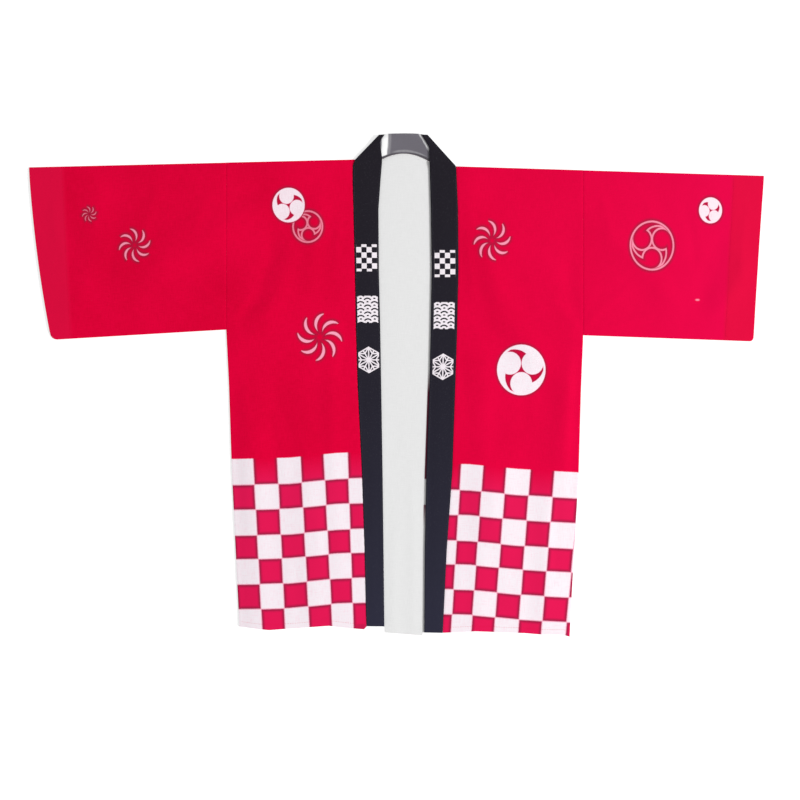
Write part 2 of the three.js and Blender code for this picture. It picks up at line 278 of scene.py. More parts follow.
# Printed motifs of each panel. Angles are counter-clockwise from +X; hand -1 turns clockwise.
# Ink is how much of the print is white; thin shapes took less of it.
Motif = namedtuple("Motif", "kind x y width height turn hand ink")
MOTIFS = {
    "front_left": [
        Motif("pinwheel", -133.6, 84.1, 79.1, 83.6, 109.7, -1, 0.5),
        Motif("tomoe_outline", -154.5, 276.4, 51, 54, 34, 1, 0.3),
        Motif("tomoe", -187.8, 314.0, 56, 60, 104, -1, 0.95),
    ],
    "front_right": [
        Motif("pinwheel", 166.4, 252.3, 65.4, 70.4, 71.9, 1, 0.42),
        Motif("tomoe", 217.1, 27.0, 84, 88, 30, 1, 1),
    ],
    "sleeve_left": [
        Motif("pinwheel", -455.8, 244.2, 56.6, 59.9, 76.7, 1, 0.4),
        Motif("pinwheel", -534.5, 298.2, 26, 27, 80, 1, 0.27),
    ],
    "sleeve_right": [
        Motif("tomoe_outline", 444.5, 243.4, 75, 84, 30, -1, 0.36),
        Motif("tomoe", 546.6, 304.8, 40, 45, 65, 1, 0.95),
    ],
    "back": [
        Motif("tomoe_outline", -40, 120, 150, 150, 10, 1, 0.5),
        Motif("tomoe", 30, 40, 96, 96, 75, -1, 1),
        Motif("pinwheel", -190, 250, 74, 74, 40, 1, 0.45),
        Motif("pinwheel", 200, 210, 62, 62, 15, -1, 0.42),
        Motif("tomoe", -170, -20, 52, 52, 20, 1, 0.95),
        Motif("tomoe_outline", 210, -10, 60, 60, 50, 1, 0.36),
    ],
    "under_left": [
        Motif("tomoe", -470, 230, 62, 62, 50, 1, 0.95),
        Motif("pinwheel", -380, 290, 34, 34, 10, -1, 0.3),
    ],
    "under_right": [
        Motif("pinwheel", 470, 220, 64, 64, 30, -1, 0.42),
        Motif("tomoe", 390, 300, 38, 38, 20, 1, 0.95),
    ],
}

# Width and length in metres that each piece shows once laid flat, and its area in square metres.
# Sleeves are tubes, and measured all round.
Cut = namedtuple("Cut", "size area")

# A small pale stain near the right cuff
STAIN_X = 524.0
STAIN_Y = 149.0
STAIN_WIDTH = 7.0
STAIN_HEIGHT = 3.5
STAIN_BLUR = 0.8
STAIN_INK = 0.3

# Width over which the paler hem of a cuff begins
CUFF_BLUR = 8.0

# Places along the collar bands for three plain blocks of pattern, and their size
BLOCK_WIDTH = 36.0
BLOCK_HEIGHT = 47.0
BLOCK_COLUMNS = 4
BLOCK_ROWS = 5
BLOCK_BLUR = 0.5
BLOCK_SLUBS = 0.4
BLOCK_COVER = 0.97
BLOCK_PLACES = {"left": (222.0, 132.5, 44.5), "right": (212.0, 121.5, 32.5)}

# Colours, linear
RED = (0.71, 0.0004, 0.038)
RED_DEEP = (0.61, 0.0002, 0.028)
# Red on the right side, bluer as painted light where the light falls brighter
RED_BLUER = (0.70, 0.0018, 0.060)
RED_CHECK = (0.69, 0.0085, 0.078)
RED_CUFF = (0.655, 0.0034, 0.043)
RED_SHADE = (0.16, 0.012, 0.040)
# Red of the inside, darkened as painted shade beside the right collar band
SHADED_RED_INSIDE = (0.13, 0.010, 0.035)
PINK = (0.87, 0.36, 0.49)
WHITE = (0.83, 0.768, 0.815)
INSIDE = (0.725, 0.725, 0.725)
INSIDE_SHADE = (0.6815, 0.6815, 0.6815)
BLACK_TOP = (0.0105, 0.0085, 0.0125)
BLACK_FOOT = (0.0200, 0.0200, 0.038)
LINT = (0.30, 0.30, 0.34)
NECK_GREY = (0.126, 0.116, 0.136)
NECK_SHADE = (0.1071, 0.0986, 0.1156)
NECK_DARK = (0.060, 0.053, 0.062)
# Painted highlight on the collar behind the neck
PAINTED_HIGHLIGHT = (0.93, 0.93, 0.93)
RED_THREAD = ((0.60, 0.002, 0.034), (0.74, 0.006, 0.056))
BLACK_THREAD = ((0.02, 0.02, 0.026), (0.07, 0.07, 0.085))
FLOOR_GREY = (0.5, 0.5, 0.5)


# Measures of the coat

def smooth(value, low, high):
    share = np.clip((value - low) / (high - low), 0, 1)
    return share * share * (3 - 2 * share)


def section(side, y, column):
    rows = side.sections
    return np.interp(y, [row.y for row in rows], [getattr(row, column) for row in rows])


def line_y(line, x):
    return line.at + line.slope * x


def height_at(places, x):
    """Height at x along the line through some places."""
    return np.interp(x, *zip(*places))


def hem_y(x):
    return -HALF_LENGTH + HEM_SLOPE * (x - HEM_CORNER_X) + height_at(HEM_RISES, x)


def back_top_y(x):
    shoulder = np.where(x < 0, line_y(LEFT.shoulder, x), line_y(RIGHT.shoulder, x))
    arch = NECK_ARCH_Y - NECK_ARCH_CURVE * (x - NECK_ARCH_X) ** 2
    return np.maximum(shoulder, arch)


def neck_top_y(x):
    return height_at(NECK_TOP, x)


# Heights of the cloth

def crease_height(crease, x, y):
    run_x = crease.x1 - crease.x0
    run_y = crease.y1 - crease.y0
    length = math.hypot(run_x, run_y)
    along = ((x - crease.x0) * run_x + (y - crease.y0) * run_y) / length**2
    on_line = np.clip(along, 0, 1)
    bow = 4 * crease.bend * on_line * (1 - on_line)
    across = ((x - crease.x0) * run_y - (y - crease.y0) * run_x) / length - bow
    ends = smooth(along, *CREASE_START) * (1 - smooth(along, *CREASE_END))
    return crease.rise * ends * np.exp(-((across / crease.width) ** 2))


def creases_height(creases, x, y):
    return sum(crease_height(crease, x, y) for crease in creases)


def beside_line(start, end, x, y):
    """Distance from a straight line, and how far along it, in millimetres."""
    run_x = end[0] - start[0]
    run_y = end[1] - start[1]
    length = math.hypot(run_x, run_y)
    share = ((x - start[0]) * run_x + (y - start[1]) * run_y) / length**2
    share = np.clip(share, 0, 1)
    away = np.hypot(x - start[0] - share * run_x, y - start[1] - share * run_y)
    return away, share * length


def chain(points):
    return list(zip(points[:-1], points[1:]))


def held_lines(side):
    """Lines where the upper layer is held down: folded and sewn edges, and the collar's edge."""
    foot, chest, head = side.sections[0], side.sections[-2], side.sections[-1]
    cuff_top = (side.cuff.top, line_y(side.shoulder, side.cuff.top))
    neck = (head.seam, line_y(side.shoulder, head.seam))
    cuff_bottom = (side.cuff.bottom, line_y(side.underarm, side.cuff.bottom))
    armpit = (side.armhole, side.armpit)
    hem = (foot.side, hem_y(foot.side))
    return [
        (cuff_top, neck),
        (cuff_bottom, armpit),
        (armpit, hem),
        ((foot.edge, foot.y), (chest.edge, chest.y)),
        ((chest.edge, chest.y), (head.edge, head.y)),
    ]


def seam_lines(side):
    armhole = [(side.armhole, side.armpit), (side.armhole, line_y(side.shoulder, side.armhole))]
    collar = [(row.seam, row.y) for row in side.sections]
    side_seam = [(row.side, row.y) for row in side.sections if row.y <= side.armpit]
    return chain(armhole) + chain(collar) + chain(side_seam)


HELD_LINES = held_lines(LEFT) + held_lines(RIGHT)
SEAM_LINES = seam_lines(LEFT) + seam_lines(RIGHT)


def puckers(x, y):
    height = np.zeros_like(x)
    for start, end in SEAM_LINES:
        away, along = beside_line(start, end, x, y)
        waves = [np.sin(2 * math.pi * (along + start[1]) / wave) for wave in PUCKER_WAVES]
        height += PUCKER_RISE * np.exp(-((away / PUCKER_REACH) ** 2)) * sum(waves) / 2
    return np.clip(height, -PUCKER_RISE, PUCKER_RISE)


def waviness(x, y):
    """The slight unevenness that pressed cotton keeps all over."""
    first = np.sin(x / WAVY_FIRST[0] + y / WAVY_FIRST[1])
    second = np.sin(x / WAVY_SECOND[0] - y / WAVY_SECOND[1] + WAVY_SHIFT)
    third = np.sin(y / WAVY_THIRD[1] + WAVY_BEND * np.sin(x / WAVY_THIRD[0]))
    return WAVY_RISES[0] * first + WAVY_RISES[1] * second + WAVY_RISES[2] * third


def lift(x, y):
    """How far the upper layer stands above the layer under it."""
    away = np.min([beside_line(*line, x, y)[0] for line in HELD_LINES], axis=0)
    height = RESTING_LIFT + creases_height(MAIN_CREASES + FINE_CREASES, x, y) + waviness(x, y)
    return np.clip(height, 0, HIGHEST_LIFT) * smooth(away, 0, EDGE_FADE)


def under_lift(x, y):
    return np.clip(creases_height(UNDER_CREASES, x, y), 0, UNDER_HIGHEST)


def neck_lift(x, y):
    first, last = NECK_TOP[0][0], NECK_TOP[-1][0]
    arc = np.sin(math.pi * np.clip(x - first, 0, last - first) / (last - first))
    up = np.clip((y - back_top_y(x)) / (HALF_LENGTH - NECK_ARCH_Y), 0, 1)
    return NECK_LIFT * arc**2 * up**2


def band_under(x, y):
    on_back = FRONT_UNDER + lift(x, y)
    on_neck = BAND + FOLD_GAP + neck_lift(x, y)
    climb = smooth(y, back_top_y(x) - CLIMB_FROM, back_top_y(x) - CLIMB_TO)
    return on_back + (on_neck - on_back) * climb


# Meshes

EDGE_STEPS = np.array([0.0, 0.08, 0.3, 0.65, 1.0])
ROLL = {SHEET: 0.25, BAND: BAND / 2}

# Steps round a sleeve's folded edge, and angles in degrees round the corner of its cuff
FOLD_STEPS = 9
CORNER_ANGLES = [15, 30, 43, 55, 65, 73, 79, 83, 86.5, 90]


def spread(length, thickness, step=GRID):
    """Shares of a length, in even steps with finer ones where the cloth rolls over at its ends."""
    fine = EDGE_STEPS * ROLL[thickness] / length
    count = max(3, round(length / step))
    middle = np.linspace(fine[-1], 1 - fine[-1], count)[1:-1]
    return np.concatenate([fine, middle, 1 - fine[::-1]])


def half_thickness(away, thickness):
    """Half the sheet's thickness at a distance from its edge, which is round."""
    inward = np.clip(away / ROLL[thickness], 0, 1)
    return thickness / 2 * np.sqrt(1 - (1 - inward) ** 2)


def quads(index, closed=False):
    """Faces of a grid of vertex numbers, joined round its second direction if closed."""
    if closed:
        index = np.concatenate([index, index[:, :1]], axis=1)
    corners = [index[:-1, :-1], index[:-1, 1:], index[1:, 1:], index[1:, :-1]]
    return np.stack([corner.ravel() for corner in corners], axis=1)


def make_piece(name, points, faces, materials, slots):
    """A smooth mesh in metres from millimetre points, without the points that no face uses."""
    used, faces = np.unique(faces, return_inverse=True)
    faces = faces.reshape(-1, 4)
    points = points[used]
    mesh = bpy.data.meshes.new(name)
    mesh.from_pydata((points * MM).tolist(), [], faces.tolist())
    for material in materials:
        mesh.materials.append(material)
    mesh.polygons.foreach_set("material_index", slots.astype(np.int32))
    mesh.polygons.foreach_set("use_smooth", np.ones(len(faces), dtype=bool))
    piece = bpy.data.objects.new(name, mesh)
    bpy.context.scene.collection.objects.link(piece)
    add_vectors(mesh, "place", points[:, :2])
    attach(piece, "root")
    return piece, points


def add_vectors(mesh, name, pairs):
    """A named pair of numbers at each vertex, for the materials."""
    layer = mesh.attributes.new(name, "FLOAT_VECTOR", "POINT")
    values = np.zeros((len(pairs), 3), dtype=np.float32)
    values[:, :2] = pairs
    layer.data.foreach_set("vector", values.ravel())


def closed_sheet(name, x, y, middle, thickness, materials):
    """A sheet with rounded edges over a grid of places; its upper side has the first material."""
    rows, columns = x.shape
    steps_x = np.hypot(np.diff(x, axis=1), np.diff(y, axis=1))
    steps_y = np.hypot(np.diff(x, axis=0), np.diff(y, axis=0))
    along = np.concatenate([np.zeros((rows, 1)), np.cumsum(steps_x, axis=1)], axis=1)
    up = np.concatenate([np.zeros((1, columns)), np.cumsum(steps_y, axis=0)], axis=0)
    away = np.min([along, along[:, -1:] - along, up, up[-1:] - up], axis=0)
    half = half_thickness(away, thickness)
    upper = np.stack([x, y, middle + half], axis=-1).reshape(-1, 3)
    lower = np.stack([x, y, middle - half], axis=-1).reshape(-1, 3)
    top = np.arange(rows * columns).reshape(rows, columns)
    bottom = top + rows * columns
    for edge in (np.s_[0, :], np.s_[-1, :], np.s_[:, 0], np.s_[:, -1]):
        bottom[edge] = top[edge]
    top_faces = quads(top)
    bottom_faces = quads(bottom)[:, ::-1]
    faces = np.concatenate([top_faces, bottom_faces])
    slots = np.repeat([0, 1], [len(top_faces), len(bottom_faces)])
    return make_piece(name, np.concatenate([upper, lower]), faces, materials, slots)


def check_row(depth):
    """Rows down from the check's top line, ending inside the last one; below zero above the line."""
    depths = [CHECK_ROWS[0] - CHECK_PITCH, *CHECK_ROWS]
    row = np.interp(depth, depths, range(-1, len(CHECK_ROWS)))
    return np.minimum(row, len(CHECK_ROWS) - 2 + CHECK_LAST)


def check_coordinates(side_name, x, y):
    """Place in the printed check: columns across from the left, rows down from its top line."""
    row = check_row(height_at(CHECK_TOP[side_name], x) - y)
    foot, head = CHECK_COLUMNS[side_name]
    share = (y - foot.y) / (head.y - foot.y)
    lines = [low + (high - low) * share for low, high in zip(foot.lines, head.lines)]
    outside = np.minimum(x - lines[0], 0) + np.maximum(x - lines[-1], 0)
    column = outside / CHECK_PITCH + 1
    for before, after in zip(lines[:-1], lines[1:]):
        column += np.clip((x - before) / (after - before), 0, 1)
    return np.stack([column + CHECK_PHASE[side_name], row], axis=-1)


# Panels

def body_grid(side):
    """Places on a front, in rows from hem to shoulder and columns from side seam to collar."""
    ups = spread(2 * HALF_LENGTH, SHEET)[:, None]
    acrosses = spread(abs(side.armhole - side.sections[-1].seam), SHEET)[None, :]
    foot, head = side.sections[0].y, side.sections[-1].y
    y = foot + (head - foot) * ups
    left = section(side, y, "side")
    x = left + (section(side, y, "seam") - left) * acrosses
    low = hem_y(x)
    return x, low + (line_y(side.shoulder, x) - low) * ups


def front_top(x, y):
    """Height of the outer face of the fronts and the sleeves' upper layers."""
    hem = HEM_STEP * (1 - smooth(y - hem_y(x), HEM_DEPTH, HEM_DEPTH + HEM_STEP_WIDTH))
    return FRONT_UNDER + CLOTH + lift(x, y) + puckers(x, y) + hem


def make_front(side, outside, inside):
    name = f"front_{side.name}"
    x, y = body_grid(side)
    middle = front_top(x, y) - SHEET / 2
    piece, points = closed_sheet(f"{name}_cloth", x, y, middle, SHEET, (outside, inside))
    add_vectors(piece.data, "check", check_coordinates(side.name, points[:, 0], points[:, 1]))
    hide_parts(name)
    return piece


def make_back(outside, inside):
    ups = spread(2 * HALF_LENGTH, SHEET, BACK_GRID)[:, None]
    first, last = LEFT.sections[0].side, RIGHT.sections[0].side
    steps = [(step - first) / (last - first) for step in HEM_STEPS]
    acrosses = np.sort(np.append(spread(RIGHT.armhole - LEFT.armhole, SHEET), steps))[None, :]
    foot, head = LEFT.sections[0].y, LEFT.sections[-1].y
    y = foot + (head - foot) * ups
    left = section(LEFT, y, "side")
    x = left + (section(RIGHT, y, "side") - left) * acrosses
    low = hem_y(x)
    y = low + (back_top_y(x) - low) * ups
    middle = SHEET / 2 + creases_height(BACK_RIPPLES, x, y) + under_lift(x, y)
    piece, points = closed_sheet("back_cloth", x, y, middle, SHEET, (inside, outside))
    x, y = points[:, 0], points[:, 1]
    column = check_coordinates("left", x, y)[:, 0]
    row = check_row(height_at(CHECK_TOP["left"] + CHECK_TOP["right"], x) - y)
    add_vectors(piece.data, "check", np.stack([column, row], axis=-1))
    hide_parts("back")
    return piece


def sleeve_ring(side, reach, rise, wall):
    """A flattened ring: under layer, folded shoulder edge, upper layer, underarm edge."""
    start = side.armhole + side.sign * SEAM_OPEN
    middle = CLOTH + SEAM / 2
    radius = middle - wall
    length = line_y(side.shoulder, start) - line_y(side.underarm, start)
    count = round(length / GRID)

    def x_at(up):
        bow = 4 * side.cuff.bow * up * (1 - up)
        cuff = side.cuff.bottom + (side.cuff.top - side.cuff.bottom) * up + bow
        return start + (cuff - start) * reach

    def fold(x, y, outward):
        angles = np.linspace(-math.pi / 2, math.pi / 2, FOLD_STEPS)
        arc_y = y + outward * radius * np.cos(angles)
        arc_z = middle + outward * radius * np.sin(angles)
        return np.stack([np.full(FOLD_STEPS, x), arc_y, arc_z], axis=-1)

    low = line_y(side.underarm, x_at(0.0)) + rise + middle
    high = line_y(side.shoulder, x_at(1.0)) - middle
    ups = np.linspace(0, 1, count + 2)[1:-1]
    across = x_at(ups)
    y = low + (high - low) * ups
    cuff_line = abs(cuff_line_x(side, ups))
    cuff_step = smooth(abs(across), cuff_line, cuff_line + HEM_STEP_WIDTH)
    top = middle + radius + lift(across, y) + puckers(across, y) + HEM_STEP * cuff_step
    under = np.stack([across, y, middle - radius + under_lift(across, y)], axis=-1)
    upper = np.stack([across, y, top], axis=-1)[::-1]
    return np.concatenate([under, fold(x_at(1.0), high, 1), upper, fold(x_at(0.0), low, -1)])


def cuff_line_x(side, up):
    """Where the stitch line of the cuff's hem runs, at a share of the way up the cuff."""
    return side.cuff.hem_bottom + (side.cuff.hem_top - side.cuff.hem_bottom) * up


def make_sleeve(side, outside, inside):
    name = f"sleeve_{side.name}"
    length = abs(side.cuff.bottom - side.armhole)
    corner = side.cuff.corner
    roll = EDGE_STEPS * ROLL[SHEET]
    straight = np.linspace(roll[-1], length - corner, round((length - corner) / GRID))
    reaches = list(np.concatenate([roll[:-1], straight]) / length)
    rises = [0.0] * len(reaches)
    for angle in np.radians(CORNER_ANGLES):
        reaches.append(1 - corner / length * (1 - math.sin(angle)))
        rises.append(corner * (1 - math.cos(angle)))
    outer, inner = [], []
    for reach, rise in zip(reaches, rises):
        half = half_thickness(min(reach, 1 - reach) * length, SHEET)
        outer.append(sleeve_ring(side, reach, rise, SHEET / 2 - half))
        inner.append(sleeve_ring(side, reach, rise, SHEET / 2 + half))
    outer, inner = np.array(outer), np.array(inner)
    stations, count = outer.shape[:2]
    outer_index = np.arange(stations * count).reshape(stations, count)
    inner_index = outer_index + stations * count
    inner_index[[0, -1]] = outer_index[[0, -1]]
    outer_faces = quads(outer_index, closed=True)
    inner_faces = quads(inner_index, closed=True)[:, ::-1]
    faces = np.concatenate([outer_faces, inner_faces])
    if side.sign < 0:
        faces = faces[:, ::-1]
    points = np.concatenate([outer.reshape(-1, 3), inner.reshape(-1, 3)])
    below = np.arange(len(outer_faces)) % count < (count - 2 * FOLD_STEPS) // 2
    slots = np.concatenate([np.where(below, 2, 0), np.ones(len(inner_faces), dtype=int)])
    under = red_cotton(f"under_{side.name}_cotton", MOTIFS[f"under_{side.name}"])
    materials = (outside, inside, under)
    piece, points = make_piece(f"{name}_cloth", points, faces, materials, slots)
    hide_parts(name)
    return piece


def make_band(side, material):
    """The collar's band down one front and over its tip, with coordinates along the band."""
    width = abs(side.sections[0].seam - side.sections[0].edge)
    ups = spread(2 * HALF_LENGTH, BAND)[:, None]
    acrosses = spread(width, BAND, BAND_GRID)[None, :]
    foot, head = side.sections[0].y, side.sections[-1].y
    tip_length = side.tip.y - head
    y = foot + (side.tip.y - foot) * ups
    on_front = np.minimum(y, head)
    onward = np.clip((y - head) / tip_length, 0, 1)
    seam = section(side, on_front, "seam") - side.sign * SEAM
    seam = seam + (side.tip.seam - seam) * onward
    edge = section(side, on_front, "edge")
    bend_at = (side.bend.y - head) / tip_length
    edge_on_neck = np.interp(onward, [0, bend_at, 1], [edge[-1, 0], side.bend.edge, side.tip.edge])
    edge = np.where(onward > 0, edge_on_neck, edge)
    x = seam + (edge - seam) * acrosses
    low = hem_y(x)
    y = low + (line_y(side.shoulder, x) - low) * (on_front - foot) / (head - foot)
    y = y + (side.tip.y - y) * onward
    name = f"collar_{side.name}"
    middle = band_under(x, y) + BAND / 2
    piece, points = closed_sheet(f"{name}_cloth", x, y, middle, BAND, (material, material))
    centre = section(side, points[:, 1], "seam") + section(side, points[:, 1], "edge")
    add_vectors(piece.data, "band", np.stack([points[:, 0] - centre / 2, points[:, 1]], axis=-1))
    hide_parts(name)
    return piece


def make_neck(material):
    first, last = NECK_TOP[0][0], NECK_TOP[-1][0]
    ups = spread(HALF_LENGTH - NECK_ARCH_Y, BAND, NECK_GRID)[:, None]
    x = first + (last - first) * spread(last - first, BAND, NECK_GRID)[None, :] * np.ones_like(ups)
    low = back_top_y(x) + SEAM
    y = low + (neck_top_y(x) - low) * ups
    middle = neck_lift(x, y) + BAND / 2
    piece, _ = closed_sheet(
        "collar_neck_cloth", x, y, middle, BAND, (material, material)
    )
    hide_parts("collar_neck")
    return piece


# Stitches

Stitches = namedtuple("Stitches", "length gap width height")
RED_STITCHES = Stitches(3.0, 1.2, 0.35, 0.14)
BLACK_STITCHES = Stitches(3.4, 1.4, 0.5, 0.25)
STITCH_SIDES = 6
STITCH_RINGS = (0.0, 0.12, 0.4, 0.6, 0.88, 1.0)
STITCH_SQUARENESS = 4
STITCH_TIP = 0.02
STITCH_LIFT = 0.6

# Rows of stitches: places in their lines, and how far they keep from edges and from line ends
ROW_PLACES = 90
ROW_START = 0.02
STITCH_INSET = 2.0
HEM_ROW_INSET = 3.0
BAND_ROW_PLACES = 300
BAND_ROW_START = 4.0
BAND_STITCH_INSET = 2.6


def stitch_row(places, heights, kind):
    """Points and faces of a row of stitches along a line of places, each a low rounded bar."""
    steps = np.hypot(*np.diff(places, axis=0).T)
    along = np.concatenate([[0], np.cumsum(steps)])
    starts = np.arange(kind.gap, along[-1] - kind.length, kind.length + kind.gap)
    shares = np.array(STITCH_RINGS)
    at = starts[:, None] + kind.length * shares[None, :]
    x, y, z = (np.interp(at, along, line) for line in (places[:, 0], places[:, 1], heights))
    run_x, run_y = x[:, -1:] - x[:, :1], y[:, -1:] - y[:, :1]
    run = np.hypot(run_x, run_y)
    bulge = np.sqrt(np.clip(1 - (2 * shares - 1) ** STITCH_SQUARENESS, STITCH_TIP, 1))
    points = []
    for turn in np.linspace(0, 2 * math.pi, STITCH_SIDES, endpoint=False):
        aside = kind.width / 2 * math.cos(turn) * bulge
        above = kind.height / 2 * (math.sin(turn) + STITCH_LIFT) * bulge
        points.append(np.stack([x - run_y / run * aside, y + run_x / run * aside, z + above], axis=-1))
    points = np.stack(points, axis=2)
    count, rings, sides = points.shape[:3]
    index = np.arange(count * rings * sides).reshape(count, rings, sides)
    faces = np.concatenate([quads(stitch, closed=True) for stitch in index])
    return points.reshape(-1, 3), faces


def make_stitches(name, rows, kind, material):
    points, faces, count = [], [], 0
    for places, heights in rows:
        row_points, row_faces = stitch_row(places, heights, kind)
        points.append(row_points)
        faces.append(row_faces + count)
        count += len(row_points)
    faces = np.concatenate(faces)
    slots = np.zeros(len(faces), dtype=int)
    return make_piece(name, np.concatenate(points), faces, [material], slots)[0]


def hem_row(side):
    side_seam = section(side, hem_y(0), "side") - side.sign * HEM_ROW_INSET
    x = np.linspace(side_seam, side.sections[0].seam, ROW_PLACES)
    y = hem_y(x) + HEM_DEPTH - STITCH_INSET
    return np.stack([x, y], axis=-1), front_top(x, y)


def cuff_row(side):
    ups = np.linspace(ROW_START, 1 - ROW_START, ROW_PLACES)
    x = cuff_line_x(side, ups) + side.sign * STITCH_INSET
    low, high = line_y(side.underarm, x), line_y(side.shoulder, x)
    y = low + (high - low) * ups
    return np.stack([x, y], axis=-1), 2 * CLOTH + SEAM + lift(x, y) + HEM_STEP


def band_row(side, aside):
    """A line along a collar band, a little inside its seam or its free edge."""
    foot = hem_y(side.sections[0].edge) + BAND_ROW_START
    y = np.linspace(foot, side.sections[-1].y - CLIMB_FROM, BAND_ROW_PLACES)
    inward = -side.sign if aside == "seam" else side.sign
    x = section(side, y, aside) + inward * BAND_STITCH_INSET
    return np.stack([x, y], axis=-1), FRONT_UNDER + lift(x, y) + BAND


# Materials

class Field:
    """A number that varies over a material, with ordinary arithmetic."""

    def __init__(self, tree, socket):
        self.tree = tree
        self.socket = socket

    def math(self, operation, *others, clamp=False):
        node = self.tree.nodes.new("ShaderNodeMath")
        node.operation = operation
        node.use_clamp = clamp
        for place, value in enumerate((self, *others)):
            if isinstance(value, Field):
                self.tree.links.new(value.socket, node.inputs[place])
            else:
                node.inputs[place].default_value = value
        return Field(self.tree, node.outputs[0])

    def __add__(self, other):
        return self.math("ADD", other)

    def __sub__(self, other):
        return self.math("SUBTRACT", other)

    def __mul__(self, other):
        return self.math("MULTIPLY", other)

    def __truediv__(self, other):
        return self.math("DIVIDE", other)

    def __abs__(self):
        return self.math("ABSOLUTE")

    def lower(self, other):
        return self.math("MINIMUM", other)

    def higher(self, other):
        return self.math("MAXIMUM", other)

    def flip(self):
        """One minus the number."""
        return self.math("MULTIPLY_ADD", -1.0, 1.0)

    def wrap(self, low, high):
        return self.math("WRAP", high, low)

    def ramp(self, slope, start):
        """A straight line of the number, held between 0 and 1."""
        return self.math("MULTIPLY_ADD", slope, start, clamp=True)

    def sharp(self, blur):
        """1 where the number is above zero and 0 below, over a narrow blur."""
        return self.ramp(1 / blur, 0.5)

    def within(self, half, blur):
        """1 where the number is less than half away from zero, over a narrow blur."""
        return (abs(self) * -1 + half).sharp(blur)

    def mix(self, first, second):
        """A colour between two colours, each a constant or the output of another mix."""
        node = self.tree.nodes.new("ShaderNodeMix")
        node.data_type = "RGBA"
        self.tree.links.new(self.socket, node.inputs["Factor"])
        for name, colour in (("A", first), ("B", second)):
            socket = next(item for item in node.inputs if item.name == name and item.type == "RGBA")
            if isinstance(colour, tuple):
                socket.default_value = (*colour, 1)
            else:
                self.tree.links.new(colour, socket)
        return next(item for item in node.outputs if item.type == "RGBA")


def pair(tree, name):
    attribute = tree.nodes.new("ShaderNodeAttribute")
    attribute.attribute_name = name
    split = tree.nodes.new("ShaderNodeSeparateXYZ")
    tree.links.new(attribute.outputs["Vector"], split.inputs["Vector"])
    return Field(tree, split.outputs["X"]), Field(tree, split.outputs["Y"])


def noise(x, y, size, detail=2.0):
    """Soft noise around 0.5 with features of a size in millimetres, one for each direction."""
    tree = x.tree
    join = tree.nodes.new("ShaderNodeCombineXYZ")
    tree.links.new((x / size[0]).socket, join.inputs["X"])
    tree.links.new((y / size[1]).socket, join.inputs["Y"])
    texture = tree.nodes.new("ShaderNodeTexNoise")
    set_inputs(texture, {"Scale": 1.0, "Detail": detail})
    tree.links.new(join.outputs["Vector"], texture.inputs["Vector"])
    return Field(tree, texture.outputs["Fac"])


def distance(x, y):
    return (x * x + y * y).math("SQRT")


def set_inputs(node, values):
    for name, value in values.items():
        node.inputs[name].default_value = value


def paint(material, colour):
    tree = material.node_tree
    tree.links.new(colour, tree.nodes["Principled BSDF"].inputs["Base Color"])
    return material


def motif_circle(x, y, motif):
    """Radius and angle within a motif's own unit circle, and the angle of its first arm."""
    across = (x - motif.x) * (2 / motif.width)
    up = (y - motif.y) * (2 * motif.hand / motif.height)
    return distance(across, up), up.math("ARCTAN2", across), motif.hand * math.radians(motif.turn)


THIRD = 2 * math.pi / 3
TOMOE_HEAD = 0.45
TOMOE_HEAD_FROM = 0.536
TOMOE_TAIL_START = 0.45
TOMOE_TAIL_GROWTH = 0.298
TOMOE_RIM_WIDTH = 3.6
TOMOE_LINE_WIDTH = 2.8


def tomoe_shape(x, y, motif):
    """Above zero in the three commas of a tomoe: round heads with tails that narrow to the rim."""
    radius, angle, first = motif_circle(x, y, motif)
    turned = angle - first
    beside = turned.wrap(-THIRD / 2, THIRD / 2)
    head_x = radius * beside.math("COSINE") - TOMOE_HEAD_FROM
    head_y = radius * beside.math("SINE")
    head = distance(head_x, head_y) * -1 + TOMOE_HEAD
    tail_from = turned.wrap(0, THIRD) * TOMOE_TAIL_GROWTH + TOMOE_TAIL_START
    tail = radius - tail_from.lower(1 - 2 * TOMOE_RIM_WIDTH / motif.width)
    return head.higher(tail), radius.flip()


def tomoe(x, y, motif):
    shape, inside = tomoe_shape(x, y, motif)
    return shape.lower(inside)


def tomoe_outline(x, y, motif):
    shape, inside = tomoe_shape(x, y, motif)
    half_line = TOMOE_LINE_WIDTH / motif.width
    arms = (abs(shape) * -1 + half_line).lower(inside)
    return arms.higher(abs(inside) * -1 + half_line)


BLADES = 8
BLADE_START = 0.277
BLADE_BEND = math.radians(31.9)
BLADE_OUTER_RISE = 0.281
BLADE_INNER_RISE = 0.151
BLADE_SECTOR = 2 * math.pi / BLADES
BLADE_SECTOR_START = math.radians(-30)


def arc_circle(start, end, rise):
    """Centre and radius of the circle through two places that bows out by rise to their left."""
    chord = math.dist(start, end)
    radius = (chord**2 / 4 + rise**2) / (2 * rise)
    left = (-(end[1] - start[1]) / chord, (end[0] - start[0]) / chord)
    away = radius - rise
    middle = ((start[0] + end[0]) / 2, (start[1] + end[1]) / 2)
    return (middle[0] - away * left[0], middle[1] - away * left[1]), radius


def pinwheel(x, y, motif):
    """Eight crescent blades, each between two arcs from near the middle to its tip."""
    bend_hand = motif._replace(hand=-motif.hand)
    radius, angle, first = motif_circle(x, y, bend_hand)
    turned = (angle - first).wrap(BLADE_SECTOR_START, BLADE_SECTOR_START + BLADE_SECTOR)
    blade_x = radius * turned.math("COSINE")
    blade_y = radius * turned.math("SINE")
    tip = (math.cos(BLADE_BEND), -math.sin(BLADE_BEND))
    edges = []
    for rise in (BLADE_OUTER_RISE, BLADE_INNER_RISE):
        centre, size = arc_circle((BLADE_START, 0), tip, rise)
        edges.append(distance(blade_x - centre[0], blade_y - centre[1]) - size)
    outer, inner = edges
    return (outer * -1).lower(inner)


